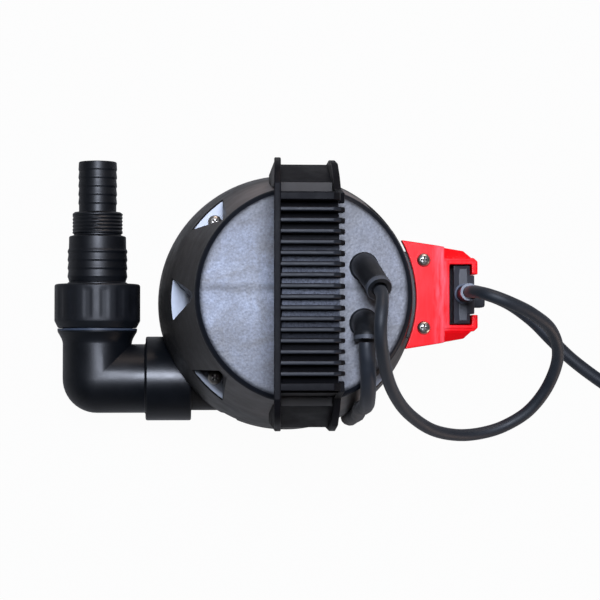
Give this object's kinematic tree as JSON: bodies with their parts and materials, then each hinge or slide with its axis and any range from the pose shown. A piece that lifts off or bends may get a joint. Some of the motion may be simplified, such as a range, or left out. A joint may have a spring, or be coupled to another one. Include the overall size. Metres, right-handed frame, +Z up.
{
  "type": "submersible dirty-water pump",
  "caption": "Upright submersible pump with slotted intake foot, carry handle, swivelling outlet elbow and stepped hose tail, level sensor sliding on a rail, and a coiled mains lead.",
  "frame": {"origin": "on the floor, under the centre of the pump shaft", "axes": "+Z up along the shaft, outlet elbow on the -X side with its hose tail along +Y, sensor rail on the +X side"},
  "size_m": [0.5956, 0.2097, 0.32],
  "materials": {
    "black_plastic": "moulded, satin gloss",
    "textured_plastic": "moulded, fine spark texture",
    "red_plastic": "moulded, glossy",
    "sensor_plastic": "moulded, satin",
    "rubber": "matt rubber",
    "steel": "bright",
    "iron": "laminated sheet",
    "copper": "varnished wire",
    "aluminium": "as cast",
    "ceramic": "lapped"
  },
  "bodies": {
    "pump": {"intake_base": "black_plastic", "lower_housing": "black_plastic", "volute_casing": "black_plastic", "upper_housing": "black_plastic", "motor_cap": "textured_plastic", "carry_handle": "black_plastic", "sensor_rail": "red_plastic", "sensor_boot": "rubber", "power_boot": "rubber", "sensor_cable": "rubber", "power_cable": "rubber", "power_coil": "rubber", "power_tail": "rubber", "coil_tie": "rubber", "mains_plug": "rubber", "plug_pin_1": "steel", "plug_pin_2": "steel", "base_screw_1": "steel", "base_screw_2": "steel", "base_screw_3": "steel", "base_screw_4": "steel", "housing_screw_1": "steel", "housing_screw_2": "steel", "housing_screw_3": "steel", "housing_screw_4": "steel", "handle_screw_1": "steel", "handle_screw_2": "steel", "rail_screw_1": "steel", "rail_screw_2": "steel", "cap_seal": "rubber", "housing_seal": "rubber", "bearing_carrier": "aluminium", "bearing_bridge": "aluminium", "lower_bearing": "steel", "upper_bearing": "steel", "seal_seat": "ceramic", "stator_core": "iron", "winding_upper": "copper", "winding_lower": "copper", "run_capacitor": "aluminium"},
    "rotor": {"rotor_shaft": "steel", "rotor_core": "iron", "seal_ring": "ceramic", "impeller": "black_plastic", "impeller_nut": "steel"},
    "elbow": {"outlet_elbow": "black_plastic", "union_gasket": "rubber"},
    "nut": {"union_nut": "black_plastic"},
    "tail": {"hose_tail": "black_plastic"},
    "sensor": {"level_sensor": "sensor_plastic", "sensor_gland": "rubber", "sensor_contact_1": "steel", "sensor_contact_2": "steel"}
  },
  "joints": [
    {"name": "rotor_spin", "type": "hinge", "parent": "pump", "child": "rotor", "pos_m": [0, 0, 0.08], "axis": [0, 0, 1], "continuous": true},
    {"name": "elbow_turn", "type": "hinge", "parent": "pump", "child": "elbow", "pos_m": [-0.0614, -0.0496, 0.06], "axis": [1, 0, 0], "range_deg": [0, 180]},
    {"name": "nut_turn", "type": "hinge", "parent": "elbow", "child": "nut", "pos_m": [-0.1232, 0, 0.06], "axis": [0, 1, 0], "continuous": true},
    {"name": "tail_turn", "type": "hinge", "parent": "elbow", "child": "tail", "pos_m": [-0.1232, 0, 0.06], "axis": [0, 1, 0], "continuous": true},
    {"name": "sensor_slide", "type": "slide", "parent": "pump", "child": "sensor", "axis": [0, 0, -1], "range_m": [0, 0.06]}
  ]
}
